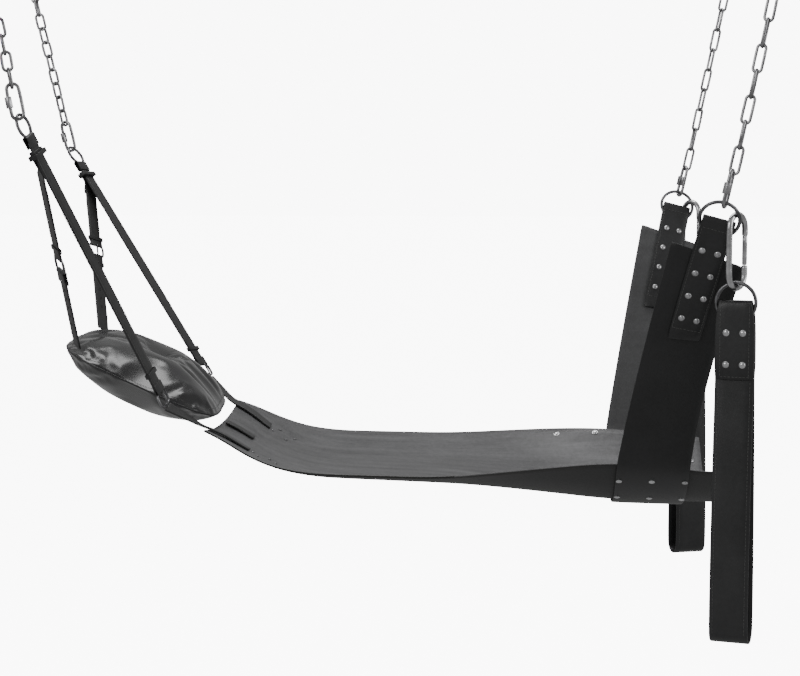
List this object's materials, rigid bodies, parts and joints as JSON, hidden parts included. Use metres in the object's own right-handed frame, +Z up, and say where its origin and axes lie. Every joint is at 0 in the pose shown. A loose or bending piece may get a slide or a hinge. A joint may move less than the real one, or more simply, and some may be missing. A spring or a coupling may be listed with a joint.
{
  "type": "suspended leather body sling",
  "caption": "Full-length black leather body sling with cradle band, head pillow and stirrup loops, hung on chains. Adult furniture, not playground equipment.",
  "frame": {"origin": "middle of the four hang points, at the height where the top quick links take the chains' supports", "axes": "+X along the sling towards the foot end and the stirrups, +Z up, -Y is the right-hand side"},
  "size_m": [1.2406, 0.7724, 1.0607],
  "materials": {
    "seat_leather": "smooth black leather, semi-matt, faint lengthwise streaks",
    "band_leather": "fine-grained black leather, matt",
    "strap_leather": "black bridle leather with stitched edges",
    "pillow_leather": "glossy black soft leather cover over fibre filling",
    "buckle_steel": "dark nickel-plated steel",
    "hook_steel": "bright nickel-plated steel",
    "chain_steel": "zinc-plated steel"
  },
  "bodies": {
    "top_links": {"top_quick_link_foot_right": "chain_steel", "top_quick_link_foot_left": "chain_steel", "top_quick_link_head_right": "chain_steel", "top_quick_link_head_left": "chain_steel"},
    "head_chain_right": {"head_chain_right": "chain_steel", "head_quick_link_right": "chain_steel"},
    "head_sleeve_right": {"head_link_sleeve_right": "chain_steel"},
    "foot_chain_right": {"foot_chain_right": "chain_steel", "foot_quick_link_right": "chain_steel"},
    "foot_sleeve_right": {"foot_link_sleeve_right": "chain_steel"},
    "hook_right": {"snap_hook_right": "hook_steel"},
    "gate_right": {"snap_gate_right": "hook_steel"},
    "stirrup_right": {"stirrup_ring_right": "chain_steel", "stirrup_tab_right": "strap_leather", "stirrup_loop_right": "strap_leather"},
    "head_chain_left": {"head_chain_left": "chain_steel", "head_quick_link_left": "chain_steel"},
    "head_sleeve_left": {"head_link_sleeve_left": "chain_steel"},
    "foot_chain_left": {"foot_chain_left": "chain_steel", "foot_quick_link_left": "chain_steel"},
    "foot_sleeve_left": {"foot_link_sleeve_left": "chain_steel"},
    "hook_left": {"snap_hook_left": "hook_steel"},
    "gate_left": {"snap_gate_left": "hook_steel"},
    "stirrup_left": {"stirrup_ring_left": "chain_steel", "stirrup_tab_left": "strap_leather", "stirrup_loop_left": "strap_leather"},
    "sling": {"seat_panel": "seat_leather", "cradle_band": "band_leather", "hanger_tab_right": "strap_leather", "foot_ring_right": "chain_steel", "hanger_tab_left": "strap_leather", "foot_ring_left": "chain_steel", "pillow": "pillow_leather", "head_ring_right": "chain_steel", "head_main_strap_right": "strap_leather", "head_buckle_right": "buckle_steel", "head_buckle_prong_right": "buckle_steel", "panel_strap_right": "strap_leather", "pillow_upper_strap_right": "strap_leather", "pillow_buckle_right": "buckle_steel", "pillow_buckle_prong_right": "buckle_steel", "pillow_lower_strap_right": "strap_leather", "head_ring_left": "chain_steel", "head_main_strap_left": "strap_leather", "head_buckle_left": "buckle_steel", "head_buckle_prong_left": "buckle_steel", "panel_strap_left": "strap_leather", "pillow_upper_strap_left": "strap_leather", "pillow_buckle_left": "buckle_steel", "pillow_buckle_prong_left": "buckle_steel", "pillow_lower_strap_left": "strap_leather", "tail_strap": "strap_leather"}
  },
  "joints": [
    {"name": "swing", "type": "hinge", "parent": "top_links", "child": "head_chain_right", "pos_m": [-0.5427, -0.3042, -0.0222], "axis": [0, 1, 0], "range_deg": [-6, 6]},
    {"name": "head_ring_pivot", "type": "hinge", "parent": "head_chain_right", "child": "sling", "pos_m": [-0.4928, 0, -0.2744], "axis": [0, 1, 0], "range_deg": [-6.62, 6.62]},
    {"name": "head_chain_left_pivot", "type": "hinge", "parent": "sling", "child": "head_chain_left", "pos_m": [-0.5614, 0.3042, -0.3179], "axis": [0, 1, 0], "range_deg": [-5.62, 5.62]},
    {"name": "foot_chain_right_pivot", "type": "hinge", "parent": "sling", "child": "foot_chain_right", "pos_m": [0.5003, -0.3723, -0.3954], "axis": [0, 1, 0], "range_deg": [-4.76, 4.76]},
    {"name": "foot_chain_left_pivot", "type": "hinge", "parent": "sling", "child": "foot_chain_left", "pos_m": [0.5003, 0.3723, -0.3954], "axis": [0, 1, 0], "range_deg": [-4.76, 4.76]},
    {"name": "hook_swing_right", "type": "hinge", "parent": "sling", "child": "hook_right", "pos_m": [0.51925, -0.35655, -0.4325], "axis": [0, 1, 0], "range_deg": [-12, 0]},
    {"name": "stirrup_swing_right", "type": "hinge", "parent": "hook_right", "child": "stirrup_right", "pos_m": [0.51925, -0.35655, -0.50625], "axis": [-1, 0, 0], "range_deg": [-8, 25]},
    {"name": "gate_right", "type": "hinge", "parent": "hook_right", "child": "gate_right", "pos_m": [0.5313, -0.3432, -0.4814], "axis": [0.7431, -0.6691, 0], "range_deg": [0, 10], "stiffness_Nm_per_rad": 0.05, "springref_deg": -9.74},
    {"name": "head_sleeve_right", "type": "slide", "parent": "head_chain_right", "child": "head_sleeve_right", "axis": [0.1942, 0, -0.981], "range_m": [0, 0.007]},
    {"name": "foot_sleeve_right", "type": "slide", "parent": "foot_chain_right", "child": "foot_sleeve_right", "axis": [-0.2167, 0, -0.9762], "range_m": [0, 0.007]},
    {"name": "hook_swing_left", "type": "hinge", "parent": "sling", "child": "hook_left", "pos_m": [0.51925, 0.35655, -0.4325], "axis": [0, 1, 0], "range_deg": [-12, 0]},
    {"name": "stirrup_swing_left", "type": "hinge", "parent": "hook_left", "child": "stirrup_left", "pos_m": [0.51925, 0.35655, -0.50625], "axis": [1, 0, 0], "range_deg": [-8, 25]},
    {"name": "gate_left", "type": "hinge", "parent": "hook_left", "child": "gate_left", "pos_m": [0.5313, 0.3432, -0.4814], "axis": [-0.7431, -0.6691, 0], "range_deg": [0, 10], "stiffness_Nm_per_rad": 0.05, "springref_deg": -9.74},
    {"name": "head_sleeve_left", "type": "slide", "parent": "head_chain_left", "child": "head_sleeve_left", "axis": [0.2232, 0, -0.9748], "range_m": [0, 0.007]},
    {"name": "foot_sleeve_left", "type": "slide", "parent": "foot_chain_left", "child": "foot_sleeve_left", "axis": [-0.2167, 0, -0.9762], "range_m": [0, 0.007]}
  ],
  "couplings": [
    {"joint": "head_ring_pivot", "follows": "swing", "ratio": -1.1038},
    {"joint": "head_chain_left_pivot", "follows": "swing", "ratio": 0.9361},
    {"joint": "foot_chain_right_pivot", "follows": "swing", "ratio": 0.79364},
    {"joint": "foot_chain_left_pivot", "follows": "swing", "ratio": 0.79364}
  ]
}
